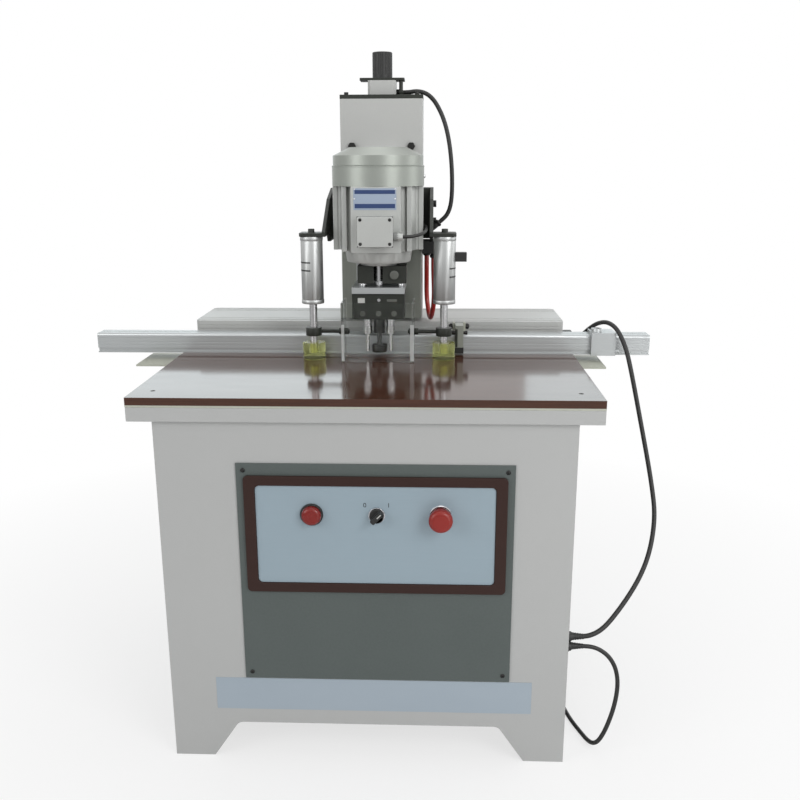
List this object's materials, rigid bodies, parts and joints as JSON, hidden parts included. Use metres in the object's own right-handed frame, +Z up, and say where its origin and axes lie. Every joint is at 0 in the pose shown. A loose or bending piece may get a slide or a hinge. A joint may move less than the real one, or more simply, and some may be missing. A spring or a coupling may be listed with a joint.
{
  "type": "hinge boring machine",
  "caption": "Floor-standing hinge boring machine: sheet cabinet with controls, table, long fence, column with a sliding motor head, cup and dowel bits, pneumatic hold-downs and a clear guard.",
  "frame": {"origin": "bottom centre of the machine on the floor, without its cords", "axes": "+X to the operator's right along the fence, +Y to the back, +Z up"},
  "size_m": [1.2721, 0.8846, 1.4485],
  "materials": {
    "cabinet_paint": "satin warm grey paint",
    "frame_paint": "satin light grey paint",
    "panel_paint": "satin grey-green paint",
    "bezel_plastic": "semi-gloss dark brown",
    "control_face": "matte pale blue-grey",
    "table_laminate": "glossy red-brown laminate on board",
    "bed_steel": "dull olive grey",
    "bright_steel": "turned bright",
    "tool_steel": "dark ground tool steel",
    "dark_fastener": "black oxide",
    "fence_aluminium": "extruded, natural anodised",
    "cylinder_tube": "brushed tube",
    "motor_casting": "die cast, silver painted",
    "fan_cover_steel": "silver paint on pressed sheet",
    "carriage_steel": "ground plate",
    "black_metal": "black, semi-gloss",
    "black_plastic": "matte black",
    "ring_chrome": "bright ring",
    "red_plastic": "glossy red",
    "red_lens": "clear red lens",
    "pad_urethane": "translucent yellow-green",
    "guard_clear": "clear acrylic sheet",
    "cord_black": "matte black sheath",
    "hose_red": "red polyurethane tube"
  },
  "bodies": {
    "frame": {"cabinet_front": "cabinet_paint", "cabinet_shell": "cabinet_paint", "apron": "cabinet_paint", "bed_plate": "bed_steel", "table_top": "table_laminate", "front_panel": "panel_paint", "control_bezel": "bezel_plastic", "control_plate": "control_face", "cover_screws": "dark_fastener", "lamp_lens": "red_lens", "control_collars": "ring_chrome", "switchgear": "black_plastic", "rear_beam": "frame_paint", "column": "frame_paint", "column_cap": "black_metal", "dovetail_way": "bright_steel", "feed_cylinder": "cylinder_tube", "cylinder_head": "frame_paint", "left_clamp_arm": "black_metal", "right_clamp_arm": "black_metal", "clamp_cylinders": "cylinder_tube", "fence": "fence_aluminium", "fence_brackets": "bed_steel", "cable_glands": "black_plastic", "air_valve": "black_plastic", "top_air_hose": "cord_black", "red_air_hose": "hose_red", "control_cable": "cord_black", "mains_lead": "cord_black", "mains_lead_coil": "cord_black", "mains_plug": "black_plastic", "frame_bolts": "dark_fastener"},
    "boring_head": {"carriage_plate": "carriage_steel", "carriage_slides": "carriage_steel", "head_bracket": "fence_aluminium", "head_bolts": "bright_steel", "motor_frame": "motor_casting", "fan_cover": "fan_cover_steel", "motor_flange": "motor_casting", "terminal_box": "motor_casting", "motor_lead": "cord_black", "coupling_housing": "black_metal", "gearbox_housing": "black_metal", "spindle_bearings": "bright_steel", "feed_rod": "bright_steel", "depth_stop": "black_metal"},
    "main_spindle": {"motor_rotor": "bright_steel", "centre_spindle": "bright_steel", "hinge_bit": "tool_steel"},
    "left_side_spindle": {"left_spindle": "bright_steel"},
    "right_side_spindle": {"right_spindle": "bright_steel"},
    "hold_down": {"clamp_rods": "bright_steel", "clamp_pads": "pad_urethane", "rod_collars": "black_metal", "guard": "guard_clear"},
    "depth_knob": {"depth_knob": "black_plastic"},
    "selector": {"selector_knob": "black_plastic"},
    "emergency_stop": {"estop_button": "red_plastic"},
    "stop_block": {"stop_block": "fence_aluminium"},
    "flip_stop": {"flip_stop": "carriage_steel"}
  },
  "joints": [
    {"name": "head_slide", "type": "slide", "parent": "frame", "child": "boring_head", "axis": [0, 0, 1], "range_m": [0, 0.06]},
    {"name": "main_spindle_spin", "type": "hinge", "parent": "boring_head", "child": "main_spindle", "pos_m": [0.022, 0.0625, 0.9], "axis": [0, 0, 1], "continuous": true},
    {"name": "left_spindle_spin", "type": "hinge", "parent": "boring_head", "child": "left_side_spindle", "pos_m": [-0.004, 0.057, 0.9], "axis": [0, 0, 1], "continuous": true},
    {"name": "right_spindle_spin", "type": "hinge", "parent": "boring_head", "child": "right_side_spindle", "pos_m": [0.048, 0.057, 0.9], "axis": [0, 0, 1], "continuous": true},
    {"name": "hold_down_slide", "type": "slide", "parent": "frame", "child": "hold_down", "axis": [0, 0, 1], "range_m": [0, 0.05]},
    {"name": "depth_knob_turn", "type": "hinge", "parent": "boring_head", "child": "depth_knob", "pos_m": [0.022, 0.258, 1.42], "axis": [0, 0, 1], "continuous": true},
    {"name": "selector_turn", "type": "hinge", "parent": "frame", "child": "selector", "pos_m": [0.037, -0.327, 0.546], "axis": [0, 1, 0], "range_deg": [-90, 0]},
    {"name": "estop_press", "type": "slide", "parent": "frame", "child": "emergency_stop", "axis": [0, 1, 0], "range_m": [0, 0.005], "stiffness_N_per_m": 800},
    {"name": "stop_block_slide", "type": "slide", "parent": "frame", "child": "stop_block", "axis": [1, 0, 0], "range_m": [-0.25, 0.05]},
    {"name": "flip_stop_swing", "type": "hinge", "parent": "frame", "child": "flip_stop", "pos_m": [0.203, 0.11, 0.839], "axis": [-1, 0, 0], "range_deg": [0, 100]}
  ],
  "couplings": [
    {"joint": "left_spindle_spin", "follows": "main_spindle_spin", "ratio": -1},
    {"joint": "right_spindle_spin", "follows": "main_spindle_spin", "ratio": -1}
  ]
}
